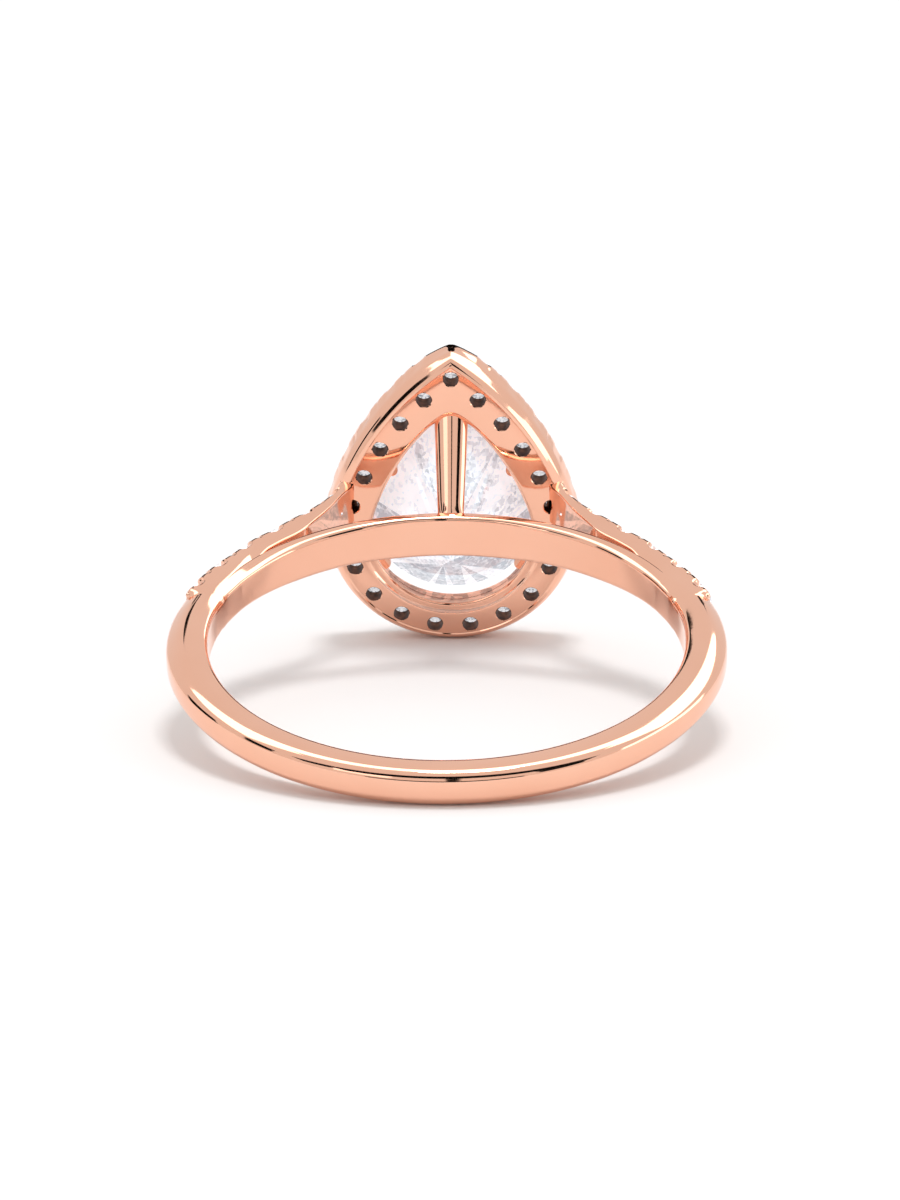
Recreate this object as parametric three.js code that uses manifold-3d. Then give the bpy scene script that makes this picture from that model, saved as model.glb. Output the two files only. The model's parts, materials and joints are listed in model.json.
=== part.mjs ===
import * as THREE from "three";
import { mergeVertices } from "three/addons/utils/BufferGeometryUtils.js";
import Module from "manifold-3d";

const wasm = await Module();
wasm.setup();

// Every length is in millimetres. The ring is built about its finger axis: X to the wearer's
// side, Y from the palm towards the head, Z along the finger and towards the pear's point.
// The last step leans it back onto the floor, as it lies when it is put down.

// Finger band
const BORE_RADIUS = 8.65;
const PALM_RADIUS = 9.95;
const SIDE_RADIUS = 10.18;
const PALM_HALF_WIDTH = 0.7;
const SIDE_HALF_WIDTH = 0.8;
const INNER_EDGE_RADIUS = 0.14;
const OUTER_EDGE_RADIUS = 0.38;
const BRANCH_ANGLE = 75;
const PALM_FACET_ANGLE = 5;

// Shoulders: matching points down the inner and the outer curve, as [x, y]
const SHOULDER_INNER = [
  [6.25, 6.95],
  [5.45, 7.8],
  [4.9, 8.7],
  [4.4, 9.6],
  [4.03, 10.5],
];
const SHOULDER_OUTER = [
  [7.35, 7.25],
  [6.64, 8.01],
  [6.0, 8.77],
  [5.32, 9.53],
  [4.68, 10.3],
];
const SHOULDER_FOOT = { inner: 3.7, outer: 4.36, overlap: 0.35 };
const SHOULDER_HALF_WIDTH = 0.8;

// Inner rail that closes the finger hole behind the head
const BRIDGE_OUTER_RADIUS = 9.3;
const BRIDGE_HALF_WIDTH = 0.84;
const BRIDGE_EDGE_RADIUS = 0.18;

// Head: the pear is drawn through the centres of the small stones
const HALO_BACK = 11.2;
const HALO_DEPTH = 1.5;
const HALO_LEDGE = 0.7;
const PEAR_RADIUS = 3.86;
const PEAR_CENTRE = -1.31;
const PEAR_POINT = 5.19;
const PEAR_FLARE = THREE.MathUtils.degToRad(16);
const HALO_WALL = [
  { height: 0, outside: 0.5 },
  { height: 0.22, outside: 0.64 },
  { height: 0.6, outside: 0.76 },
  { height: 1.5, outside: 0.84 },
];
const HALO_OPENING = -0.9;
const HALO_RIM_OPENING = -0.62;
const HALO_TIP_BLUNT = 0.4;
const HALO_TIP_DROP = 0.45;
const AZURE_RADIUS = 0.3;
const HALO_STONES = 21;
const HALO_STONE_RADIUS = 0.54;
const HALO_STONE_HEIGHT = 0.92;

// Strut under the pear's point
const STRUT_FOOT = { halfWidth: 0.47, low: -0.35, high: 0.72 };
const STRUT_HEAD = { halfWidth: 0.66, low: 2.95, high: 4.35 };
const STRUT_REACH = 0.55;

// Centre stone
const CENTRE_STONE_INSET = -0.8;
const CENTRE_STONE_LIFT = 0.15;
const CENTRE_GIRDLE = 0.12;
const CENTRE_CROWN = 1.0;
const CENTRE_TABLE = 0.56;
const CULET = { y: 10.1, z: -1.75 };

// Claws over the centre stone
const CLAW_RADIUS = 0.26;
const CLAW_HEIGHT = 1.6;
const CLAW_INSET = -0.9;
const CLAW_PATH_STEPS = [3.5, 7.5, 13.5, 17.5];
const TIP_CLAW_REACH = 0.9;

// Stones along the shoulders
const SHOULDER_STONES = 6;
const SHOULDER_STONE_RADIUS = 0.62;
const SHOULDER_STONE_PITCH = 1.65;
const SHOULDER_DRILL = { radius: 0.15, depth: 0.62 };
const SHOULDER_STONE_START = 9.78;

// Brilliant proportions, as shares of the stone's radius
const CROWN = 0.3;
const TABLE = 0.56;
const GIRDLE = 0.06;
const PAVILION = 0.86;

const CLEARANCE = 0.02;
const STONE_SIDES = 8;

const ROSE_GOLD = { color: 0xf0b898, roughness: 0.18, metalness: 1 };
const DIAMOND = { color: 0xe9edf2, roughness: 0.05, metalness: 0 };

// ---------------------------------------------------------------- solids

function toManifold(geometry) {
  const plain = geometry.clone();
  plain.deleteAttribute("normal");
  plain.deleteAttribute("uv");
  const merged = mergeVertices(plain, 1e-4);
  const mesh = new wasm.Mesh({
    numProp: 3,
    vertProperties: new Float32Array(merged.attributes.position.array),
    triVerts: new Uint32Array(merged.index.array),
  });
  return new wasm.Manifold(mesh);
}

function toGeometry(solid) {
  const mesh = solid.getMesh();
  const geometry = new THREE.BufferGeometry();
  geometry.setAttribute("position", new THREE.BufferAttribute(mesh.vertProperties, 3));
  geometry.setIndex(new THREE.BufferAttribute(mesh.triVerts, 1));
  geometry.computeVertexNormals();
  return geometry;
}

function cutAway(body, tools) {
  const cutters = wasm.Manifold.union(tools.map(toManifold));
  return toGeometry(toManifold(body).subtract(cutters));
}

// A closed skin over a row of rings with equal counts, each end closed from its own middle.
// The rings run anticlockwise when seen from the last one, looking back at the first.
function loft(rings) {
  const count = rings[0].length;
  const points = rings.flat();
  const faces = [];
  for (let r = 0; r < rings.length - 1; r++) {
    for (let i = 0; i < count; i++) {
      const a = r * count + i;
      const b = r * count + ((i + 1) % count);
      faces.push(a, b, b + count, a, b + count, a + count);
    }
  }
  const first = points.push(middleOf(rings[0])) - 1;
  const last = points.push(middleOf(rings[rings.length - 1])) - 1;
  const end = (rings.length - 1) * count;
  for (let i = 0; i < count; i++) {
    const next = (i + 1) % count;
    faces.push(first, next, i);
    faces.push(last, end + i, end + next);
  }
  const geometry = new THREE.BufferGeometry().setFromPoints(points);
  geometry.setIndex(faces);
  geometry.computeVertexNormals();
  return geometry;
}

function middleOf(ring) {
  const sum = ring.reduce((total, p) => total.add(p), new THREE.Vector3());
  return sum.divideScalar(ring.length);
}

function makeMesh(name, geometry, look) {
  const mesh = new THREE.Mesh(geometry, new THREE.MeshStandardMaterial(look));
  mesh.name = name;
  return mesh;
}

// ---------------------------------------------------------------- band and bridge

// Rounded rectangle from the inner point to the outer one, across the band's width.
function bandSection(inner, outer, halfWidth, innerEdge, outerEdge) {
  const out = outer.clone().sub(inner);
  const depth = out.length();
  out.normalize();
  const corners = [
    { u: innerEdge, v: innerEdge - halfWidth, r: innerEdge, from: 180 },
    { u: depth - outerEdge, v: outerEdge - halfWidth, r: outerEdge, from: 270 },
    { u: depth - outerEdge, v: halfWidth - outerEdge, r: outerEdge, from: 0 },
    { u: innerEdge, v: halfWidth - innerEdge, r: innerEdge, from: 90 },
  ];
  const ring = [];
  for (const corner of corners) {
    for (let step = 0; step < 3; step++) {
      const turn = THREE.MathUtils.degToRad(corner.from + 45 * step);
      const along = corner.u + corner.r * Math.cos(turn);
      const across = corner.v + corner.r * Math.sin(turn);
      ring.push(new THREE.Vector3(inner.x + out.x * along, inner.y + out.y * along, across));
    }
  }
  return ring;
}

// A point at a radius, by its angle in degrees from the head.
function onCircle(radius, degrees) {
  const turn = THREE.MathUtils.degToRad(degrees);
  return new THREE.Vector2(radius * Math.sin(turn), radius * Math.cos(turn));
}

function palmStations() {
  const stations = [];
  const first = 180 - PALM_FACET_ANGLE / 2;
  const steps = Math.round((180 - BRANCH_ANGLE) / PALM_FACET_ANGLE);
  for (let i = 0; i <= steps; i++) {
    const angle = THREE.MathUtils.lerp(first, BRANCH_ANGLE, i / steps);
    const share = THREE.MathUtils.smoothstep(180 - angle, 45, 95);
    const outer = THREE.MathUtils.lerp(PALM_RADIUS, SIDE_RADIUS, share);
    const halfWidth = THREE.MathUtils.lerp(PALM_HALF_WIDTH, SIDE_HALF_WIDTH, share);
    stations.push({ inner: onCircle(BORE_RADIUS, angle), outer: onCircle(outer, angle), halfWidth });
  }
  return stations;
}

function shoulderCurves() {
  const inner = [76, 67, 58, 49].map((a) => onCircle(BRIDGE_OUTER_RADIUS + 2 * CLEARANCE, a - 0.6));
  const outer = [76, 68, 60, 52].map((a) => onCircle(SIDE_RADIUS, a - 0.6));
  SHOULDER_INNER.forEach((p) => inner.push(new THREE.Vector2(...p)));
  SHOULDER_OUTER.forEach((p) => outer.push(new THREE.Vector2(...p)));
  const foot = HALO_BACK + SHOULDER_FOOT.overlap;
  inner.push(new THREE.Vector2(SHOULDER_FOOT.inner, foot));
  outer.push(new THREE.Vector2(SHOULDER_FOOT.outer, foot));
  return { inner: new THREE.SplineCurve(inner), outer: new THREE.SplineCurve(outer) };
}

function shoulderStations() {
  const curves = shoulderCurves();
  const count = 20;
  const stations = [];
  for (let i = 0; i <= count; i++) {
    const t = i / count;
    const halfWidth = THREE.MathUtils.lerp(SIDE_HALF_WIDTH, SHOULDER_HALF_WIDTH, Math.min(1, 2 * t));
    stations.push({ inner: curves.inner.getPoint(t), outer: curves.outer.getPoint(t), halfWidth });
  }
  return stations;
}

function mirrored(station) {
  const flip = (p) => new THREE.Vector2(-p.x, p.y);
  return { ...station, inner: flip(station.inner), outer: flip(station.outer) };
}

function bandBody() {
  const right = [...palmStations(), ...shoulderStations()];
  const left = right.map(mirrored);
  const rings = [...right.reverse(), ...left].map((s) =>
    bandSection(s.inner, s.outer, s.halfWidth, INNER_EDGE_RADIUS, OUTER_EDGE_RADIUS),
  );
  return loft(rings);
}

function bridgeBody() {
  const reach = BRANCH_ANGLE - 0.2;
  const steps = 29;
  const rings = [];
  for (let i = 0; i <= steps; i++) {
    const angle = (2 * reach * i) / steps - reach;
    const inner = onCircle(BORE_RADIUS, angle);
    const outer = onCircle(BRIDGE_OUTER_RADIUS, angle);
    rings.push(bandSection(inner, outer, BRIDGE_HALF_WIDTH, INNER_EDGE_RADIUS, BRIDGE_EDGE_RADIUS));
  }
  return loft(rings);
}

// ---------------------------------------------------------------- stones

// Brilliant about the Y axis with its girdle at zero and its table up.
function brilliant(radius) {
  const girdle = (GIRDLE / 2) * radius;
  const profile = [
    new THREE.Vector2(0, -girdle - PAVILION * radius),
    new THREE.Vector2(radius, -girdle),
    new THREE.Vector2(radius, girdle),
    new THREE.Vector2(TABLE * radius, girdle + CROWN * radius),
    new THREE.Vector2(0, girdle + CROWN * radius),
  ];
  return new THREE.LatheGeometry(profile, STONE_SIDES);
}

// The seat that a brilliant drops into: open above, and drilled through below.
function stoneSeat(radius, drillRadius, drillDepth) {
  const lip = radius + 2 * CLEARANCE;
  const meet = -(lip - drillRadius) * PAVILION;
  const profile = [
    new THREE.Vector2(0, -drillDepth),
    new THREE.Vector2(drillRadius, -drillDepth),
    new THREE.Vector2(drillRadius, meet - 2 * CLEARANCE),
    new THREE.Vector2(lip, -2 * CLEARANCE),
    new THREE.Vector2(lip, radius),
    new THREE.Vector2(0, radius),
  ];
  return new THREE.LatheGeometry(profile, STONE_SIDES);
}

// ---------------------------------------------------------------- pear outline

function pearSides() {
  const rise = PEAR_POINT - PEAR_CENTRE;
  const extra = (rise ** 2 - PEAR_RADIUS ** 2) / (2 * (PEAR_RADIUS - rise * Math.sin(PEAR_FLARE)));
  return {
    radius: PEAR_RADIUS + extra,
    x: extra * Math.cos(PEAR_FLARE),
    z: PEAR_CENTRE - extra * Math.sin(PEAR_FLARE),
  };
}

// Distance from the point, down the right side and half way round: a point [x, z] of the pear
// drawn at a given offset outside the stones' own line.
function pearPoint(distance, offset) {
  const side = pearSides();
  const sweep = Math.acos(side.x / side.radius) - PEAR_FLARE;
  const sideLength = sweep * side.radius;
  if (distance < sideLength) {
    const full = Math.acos(side.x / (side.radius + offset)) - PEAR_FLARE;
    const turn = PEAR_FLARE + full * (1 - distance / sideLength);
    const r = side.radius + offset;
    return new THREE.Vector2(r * Math.cos(turn) - side.x, side.z + r * Math.sin(turn));
  }
  const turn = PEAR_FLARE - (distance - sideLength) / PEAR_RADIUS;
  const r = PEAR_RADIUS + offset;
  return new THREE.Vector2(r * Math.cos(turn), PEAR_CENTRE + r * Math.sin(turn));
}

function pearHalfLength() {
  const side = pearSides();
  const sweep = Math.acos(side.x / side.radius) - PEAR_FLARE;
  return sweep * side.radius + (Math.PI / 2 + PEAR_FLARE) * PEAR_RADIUS;
}

// Stations all round the pear, from the point down the right and up the left.
function pearOutline(offset, count) {
  const half = pearHalfLength();
  const points = [];
  for (let i = 0; i < count; i++) {
    const distance = (2 * half * i) / count;
    const p = pearPoint(Math.min(distance, 2 * half - distance), offset);
    points.push(distance > half ? new THREE.Vector2(-p.x, p.y) : p);
  }
  return points;
}

function pearPath(distance, offset) {
  const half = pearHalfLength();
  const along = distance > half ? 2 * half - distance : distance;
  const p = pearPoint(along, offset);
  return distance > half ? new THREE.Vector2(-p.x, p.y) : p;
}

// ---------------------------------------------------------------- head

// Stands a drawing of [x, z] up in the head, from one depth to another.
function standUp(shape, from, to) {
  const geometry = new THREE.ExtrudeGeometry(shape, { depth: to - from, bevelEnabled: false });
  geometry.rotateX(Math.PI / 2);
  geometry.translate(0, to, 0);
  return geometry;
}

// One level of the halo's outer wall, its tip a little blunt.
function wallRing(outside, y) {
  return pearOutline(outside, 84).map((p) => {
    const near = p.y > 0 ? Math.max(0, HALO_TIP_BLUNT - Math.abs(p.x)) : 0;
    return new THREE.Vector3(p.x, y, p.y - near * HALO_TIP_DROP);
  });
}

// The halo without its holes, or with some room left all round it.
function haloBlank(room) {
  const levels = HALO_WALL.map((level) => ({ ...level, y: HALO_BACK + level.height }));
  levels[0].y -= room;
  return loft(levels.map((level) => wallRing(level.outside + room, level.y)));
}

function pearPrism(offset, from, to) {
  return standUp(new THREE.Shape(pearOutline(offset, 60)), from, to);
}

// The stone's opening: wider in front, which leaves a ledge for the claws to stand on.
function haloOpening() {
  const ledge = HALO_BACK + HALO_LEDGE;
  return [
    pearPrism(HALO_OPENING, HALO_BACK - HALO_DEPTH, ledge + CLEARANCE),
    pearPrism(HALO_RIM_OPENING, ledge, ledge + HALO_DEPTH),
  ];
}

function haloStonePlaces() {
  const places = [];
  const pitch = (2 * pearHalfLength()) / HALO_STONES;
  for (let i = 0; i < HALO_STONES; i++) {
    const p = pearPath(i * pitch, 0);
    places.push(new THREE.Vector3(p.x, HALO_BACK + HALO_STONE_HEIGHT, p.y));
  }
  return places;
}

function haloBody() {
  const seats = haloStonePlaces().map((place) => {
    const seat = stoneSeat(HALO_STONE_RADIUS, AZURE_RADIUS, HALO_DEPTH + 0.2);
    return seat.translate(place.x, place.y, place.z);
  });
  return cutAway(haloBlank(0), [...haloOpening(), ...seats]);
}

// Everything in the halo's depth that is not its opening.
function aroundOpening() {
  const shape = new THREE.Shape(pearOutline(PEAR_RADIUS, 60));
  shape.holes.push(new THREE.Path(pearOutline(HALO_OPENING - CLEARANCE, 60).reverse()));
  return standUp(shape, HALO_BACK - CLEARANCE, HALO_BACK + HALO_DEPTH);
}

// The strut runs up into the opening and ends against its pointed end.
function strutBody() {
  const rings = [];
  const steps = 6;
  for (let i = 0; i <= steps; i++) {
    const t = i / steps;
    const y = THREE.MathUtils.lerp(BRIDGE_OUTER_RADIUS + CLEARANCE, HALO_BACK + STRUT_REACH, t);
    const halfWidth = THREE.MathUtils.lerp(STRUT_FOOT.halfWidth, STRUT_HEAD.halfWidth, t);
    const low = THREE.MathUtils.lerp(STRUT_FOOT.low, STRUT_HEAD.low, t);
    const high = THREE.MathUtils.lerp(STRUT_FOOT.high, STRUT_HEAD.high, t);
    const ring = [];
    for (let k = 0; k < 12; k++) {
      const turn = (-2 * Math.PI * k) / 12;
      const x = halfWidth * Math.cos(turn);
      const z = (low + high) / 2 + ((high - low) / 2) * Math.sin(turn);
      ring.push(new THREE.Vector3(x, y, z));
    }
    rings.push(ring);
  }
  return cutAway(loft(rings), [aroundOpening()]);
}

// ---------------------------------------------------------------- centre stone

function centreRing(offset, y, scale) {
  return pearOutline(offset, 28).map((p) => {
    const z = CULET.z + (p.y - CULET.z) * scale;
    return new THREE.Vector3(p.x * scale, y, z);
  });
}

function centreStoneBody() {
  const girdle = HALO_BACK + HALO_DEPTH + CENTRE_STONE_LIFT;
  return loft([
    centreRing(CENTRE_STONE_INSET, CULET.y, 0.02),
    centreRing(CENTRE_STONE_INSET, girdle, 1),
    centreRing(CENTRE_STONE_INSET, girdle + CENTRE_GIRDLE, 1),
    centreRing(CENTRE_STONE_INSET, girdle + CENTRE_GIRDLE + CENTRE_CROWN, CENTRE_TABLE),
  ]);
}

// The room that the claws leave for the stone, straight down to the halo's ledge.
function centreStoneRoom() {
  const girdle = HALO_BACK + HALO_DEPTH + CENTRE_STONE_LIFT;
  const offset = CENTRE_STONE_INSET + CLEARANCE;
  return loft([
    centreRing(offset, HALO_BACK + HALO_LEDGE, 1),
    centreRing(offset, girdle + CENTRE_GIRDLE + CLEARANCE, 1),
    centreRing(offset, girdle + CENTRE_GIRDLE + CENTRE_CROWN + CLEARANCE, CENTRE_TABLE),
  ]);
}

// ---------------------------------------------------------------- claws

function roundClaw(place) {
  const foot = HALO_BACK + HALO_LEDGE + CLEARANCE;
  const shaft = CLAW_HEIGHT - CLAW_RADIUS;
  const profile = [new THREE.Vector2(0, 0), new THREE.Vector2(CLAW_RADIUS, 0)];
  for (let i = 0; i <= 3; i++) {
    const turn = (i * Math.PI) / 6;
    const r = i === 3 ? 0 : CLAW_RADIUS * Math.cos(turn);
    profile.push(new THREE.Vector2(r, shaft + CLAW_RADIUS * Math.sin(turn)));
  }
  const claw = new THREE.LatheGeometry(profile, 12).translate(place.x, foot, place.y);
  return cutAway(claw, [centreStoneRoom()]);
}

function pointClaw() {
  const foot = HALO_BACK + HALO_LEDGE + CLEARANCE;
  const tip = pearPath(0, HALO_RIM_OPENING - CLEARANCE);
  const wing = pearPath(TIP_CLAW_REACH, HALO_RIM_OPENING - CLEARANCE);
  const shape = new THREE.Shape([
    new THREE.Vector2(0, tip.y),
    new THREE.Vector2(wing.x, wing.y),
    new THREE.Vector2(wing.x - 0.35, wing.y - 0.25),
    new THREE.Vector2(0, tip.y - 0.95),
    new THREE.Vector2(0.35 - wing.x, wing.y - 0.25),
    new THREE.Vector2(-wing.x, wing.y),
  ]);
  const claw = standUp(shape, foot, foot + CLAW_HEIGHT - 0.15);
  return cutAway(claw, [centreStoneRoom()]);
}

// ---------------------------------------------------------------- shoulder stones

// Places down the outer curve of the right shoulder, the first one beside the head.
function shoulderStonePlaces() {
  const curve = shoulderCurves().outer;
  const length = curve.getLength();
  const places = [];
  for (let i = 0; i < SHOULDER_STONES; i++) {
    const t = (SHOULDER_STONE_START - i * SHOULDER_STONE_PITCH) / length;
    const p = curve.getPointAt(t);
    const along = curve.getTangentAt(t);
    places.push({ p, out: new THREE.Vector2(along.y, -along.x) });
  }
  return places;
}

// Turns something made about the Y axis to stand on the shoulder; side is 1 or -1.
function placeOnShoulder(geometry, place, side, lift) {
  const out = new THREE.Vector3(side * place.out.x, place.out.y, 0);
  const turn = new THREE.Quaternion().setFromUnitVectors(new THREE.Vector3(0, 1, 0), out);
  geometry.applyQuaternion(turn);
  return geometry.translate(side * place.p.x + out.x * lift, place.p.y + out.y * lift, 0);
}

function shankBody() {
  const seats = [];
  for (const side of [-1, 1]) {
    for (const place of shoulderStonePlaces()) {
      const seat = stoneSeat(SHOULDER_STONE_RADIUS, SHOULDER_DRILL.radius, SHOULDER_DRILL.depth);
      seats.push(placeOnShoulder(seat, place, side, 0));
    }
  }
  return cutAway(bandBody(), [haloBlank(CLEARANCE), ...seats]);
}

// ---------------------------------------------------------------- assembly

function addMetal(ring) {
  ring.add(makeMesh("shank", shankBody(), ROSE_GOLD));
  ring.add(makeMesh("finger_bridge", bridgeBody(), ROSE_GOLD));
  ring.add(makeMesh("halo_frame", haloBody(), ROSE_GOLD));
  ring.add(makeMesh("tip_strut", strutBody(), ROSE_GOLD));
  ring.add(makeMesh("claw_point", pointClaw(), ROSE_GOLD));
  const pitch = (2 * pearHalfLength()) / HALO_STONES;
  CLAW_PATH_STEPS.forEach((step, i) => {
    const place = pearPath(step * pitch, CLAW_INSET);
    ring.add(makeMesh(`claw_${i + 1}`, roundClaw(place), ROSE_GOLD));
  });
}

function addStones(ring) {
  ring.add(makeMesh("centre_diamond", centreStoneBody(), DIAMOND));
  haloStonePlaces().forEach((place, i) => {
    const name = `halo_diamond_${String(i + 1).padStart(2, "0")}`;
    const stone = makeMesh(name, brilliant(HALO_STONE_RADIUS), DIAMOND);
    stone.position.copy(place);
    ring.add(stone);
  });
  for (const [word, side] of [["left", -1], ["right", 1]]) {
    shoulderStonePlaces().forEach((place, i) => {
      const stone = placeOnShoulder(brilliant(SHOULDER_STONE_RADIUS), place, side, 0);
      ring.add(makeMesh(`${word}_shoulder_diamond_${i + 1}`, stone, DIAMOND));
    });
  }
}

// The lean at which the palm's edge and the halo's wall both touch a floor.
function restingLean() {
  const palmY = OUTER_EDGE_RADIUS - PALM_RADIUS;
  const palmZ = OUTER_EDGE_RADIUS - PALM_HALF_WIDTH;
  const leans = HALO_WALL.map((level) => {
    const across = HALO_BACK + level.height - palmY;
    const down = palmZ - (PEAR_CENTRE - PEAR_RADIUS - level.outside);
    return Math.atan2(down, across) - Math.asin(OUTER_EDGE_RADIUS / Math.hypot(across, down));
  });
  return Math.max(...leans);
}

function buildRing() {
  const ring = new THREE.Group();
  ring.name = "engagement_ring";
  addMetal(ring);
  addStones(ring);
  ring.rotation.x = restingLean();
  const part = new THREE.Group();
  part.add(ring);
  part.updateMatrixWorld(true);
  const box = new THREE.Box3().setFromObject(part, true);
  ring.position.y = -(box.min.y + box.max.y) / 2;
  ring.position.z = -box.min.z;
  return part;
}

export default buildRing();
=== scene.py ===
import json
import math
import bpy
import bmesh
import numpy as np
from mathutils import Matrix, Vector


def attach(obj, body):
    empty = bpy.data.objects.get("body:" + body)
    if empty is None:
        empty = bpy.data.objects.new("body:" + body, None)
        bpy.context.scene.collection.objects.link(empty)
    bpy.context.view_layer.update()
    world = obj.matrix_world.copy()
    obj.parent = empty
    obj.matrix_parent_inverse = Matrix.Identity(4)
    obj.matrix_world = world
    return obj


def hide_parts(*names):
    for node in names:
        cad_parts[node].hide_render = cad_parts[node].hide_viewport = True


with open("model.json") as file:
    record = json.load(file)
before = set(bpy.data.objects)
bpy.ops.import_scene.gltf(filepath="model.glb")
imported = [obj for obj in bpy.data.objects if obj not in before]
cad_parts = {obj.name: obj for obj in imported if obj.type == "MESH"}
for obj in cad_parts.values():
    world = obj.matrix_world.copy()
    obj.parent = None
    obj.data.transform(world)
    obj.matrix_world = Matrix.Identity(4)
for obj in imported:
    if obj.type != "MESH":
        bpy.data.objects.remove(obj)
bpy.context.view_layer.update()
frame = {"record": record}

# Lengths are in millimetres in the ring's own frame: X to its side, Y from the palm to the head,
# Z along the finger towards the pear's point. RING turns them into the scene's frame, in metres.
BORE = 8.65
PALM_OUT = 9.95
SIDE_OUT = 10.17
PALM_HALF_WIDTH = 0.7
SIDE_HALF_WIDTH = 0.8
SHOULDER_HALF_WIDTH = 0.78
BRANCH = 75.0
RAIL_OUT = 9.3
RAIL_HALF_WIDTH = 0.83
# The shoulder's inner and outer line above the split, as (x, y)
SHOULDER_IN = [
    (6.25, 6.95), (5.45, 7.8), (4.9, 8.7), (4.4, 9.6), (4.0, 10.5), (3.62, 11.2), (3.5, 11.7),
]
SHOULDER_OUT = [
    (7.35, 7.25), (6.64, 8.01), (6.0, 8.77), (5.3, 9.53), (4.72, 10.3), (4.4, 10.95), (4.15, 11.7),
]
HALO_BACK = 11.2
HALO_DEPTH = 1.5
PEAR_RADIUS = 3.86
PEAR_CENTRE = -1.31
PEAR_POINT = 5.19
PEAR_FLARE = math.radians(16)
# The halo's section: offsets outside the line of its stones, heights above its back
HALO_WALL = [
    (0.36, 0.045), (0.5, 0.12), (0.64, 0.28), (0.76, 0.62), (0.83, 1.3), (0.8, 1.46), (0.74, 1.5),
]
HALO_IN = -0.9
HALO_RIM_IN = -0.62
HALO_LEDGE = 0.7
HALO_FRONT_IN = 1.34
HALO_STONES = 21
HALO_STONE = 0.54
HALO_STONE_HEIGHT = 0.92
HALO_FLOOR = 0.96
HALO_FLOOR_IN = -0.5
HALO_FLOOR_OUT = 0.52
HALO_RIM_OUT = 0.6
HALO_LIP = 0.16
AZURE = 0.29
COUNTERSINK = 0.14
DRILL_SIDES = 28
HALO_NOTCH = 0.035
HALO_DIP = 0.04
OPENING_BLUNT = 0.48
OUTSIDE_BLUNT = 0.12
POINT_DROP = 0.2
POINT_REACH = 1.1
PLATE_BOW = 0.045
PLATE_LOW = 0.13
STONE_INSET = -0.8
GIRDLE_Y = HALO_BACK + HALO_DEPTH + 0.15
GIRDLE_DEPTH = 0.12
CROWN_HEIGHT = 1.0
TABLE = 0.56
CULET = (10.1, -1.75)
# Facet corners below and above the girdle, as (share of the way out, share of the way up)
PAVILION_CORNER = (0.24, 0.222)
CROWN_CORNER = (0.8, 0.47)
MAINS = 8
# A small round stone's culet, girdle bottom, girdle top and table, in radii from its girdle
ROUND_HEIGHTS = (-0.86, -0.03, 0.03, 0.33)
SHOULDER_STONES = 6
SHOULDER_STONE = 0.62
SHOULDER_PITCH = 1.65
SHOULDER_START = 9.78
CLAW_STEPS = (3.5, 7.5, 13.5, 17.5)
CLAW_RADIUS = 0.25
CLAW_HEIGHT = 1.58
POINT_CLAW_RADIUS = 0.2
POINT_CLAW_HEIGHT = 1.44
POINT_CLAW_PITCH = 0.13

# The strut's half width, low side and high side at its foot on the rail and at its head in the halo
STRUT_FOOT = (0.46, -0.4, 0.66)
STRUT_HEAD = (0.64, 2.95, 4.3)
STRUT_FLARE = (0.12, -0.05, 0.02)
STRUT_FROM = RAIL_OUT - 0.12
STRUT_TO = HALO_BACK + 0.6

# Beads round the stones
BEADLESS = 1.1
HALO_BEAD = 0.12
SHOULDER_BEAD = 0.14
SHOULDER_BEAD_Z = 0.52
SHOULDER_BEAD_SINK = 0.16
SHOULDER_BEAD_SHIFT = 0.2

# Camera, in the ring's frame: angles in radians, lengths in millimetres
CAMERA_TURN = 0.0207
CAMERA_RISE = 0.5144
CAMERA_ROLL = 0.0084
CAMERA_DISTANCE = 552.6
CAMERA_LENS = 457.8
CAMERA_UP = 1.97
CAMERA_RIGHT = 0.124

mounts = {m["name"]: Vector(m["pos_m"]) for m in frame["record"]["mounts"]}
AHEAD = (mounts["bore_head_side"] - mounts["bore_palm_side"]).normalized()
SIDE = Vector((1, 0, 0))
ALONG = SIDE.cross(AHEAD)
CENTRE = (mounts["bore_head_side"] + mounts["bore_palm_side"]) / 2
TURN = Matrix((SIDE, AHEAD, ALONG)).transposed()
RING = Matrix.Translation(CENTRE) @ TURN.to_4x4() @ Matrix.Scale(0.001, 4)


# ------------------------------------------------------------------ materials

def new_material(name):
    material = bpy.data.materials.new(name)
    material.use_nodes = True
    tree = material.node_tree
    return material, tree, tree.nodes["Principled BSDF"]


def noise(tree, scale, detail, coordinates):
    node = tree.nodes.new("ShaderNodeTexNoise")
    node.inputs["Scale"].default_value = scale
    node.inputs["Detail"].default_value = detail
    tree.links.new(coordinates, node.inputs["Vector"])
    return node.outputs["Fac"]


def ramp(tree, factor, low, high, start=0.35, end=0.65):
    node = tree.nodes.new("ShaderNodeValToRGB")
    node.color_ramp.elements[0].position = start
    node.color_ramp.elements[1].position = end
    node.color_ramp.elements[0].color = (*low, 1)
    node.color_ramp.elements[1].color = (*high, 1)
    tree.links.new(factor, node.inputs["Fac"])
    return node.outputs["Color"]


def between(tree, factor, low, high):
    node = tree.nodes.new("ShaderNodeMapRange")
    node.inputs["To Min"].default_value = low
    node.inputs["To Max"].default_value = high
    tree.links.new(factor, node.inputs["Value"])
    return node.outputs["Result"]


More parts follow.
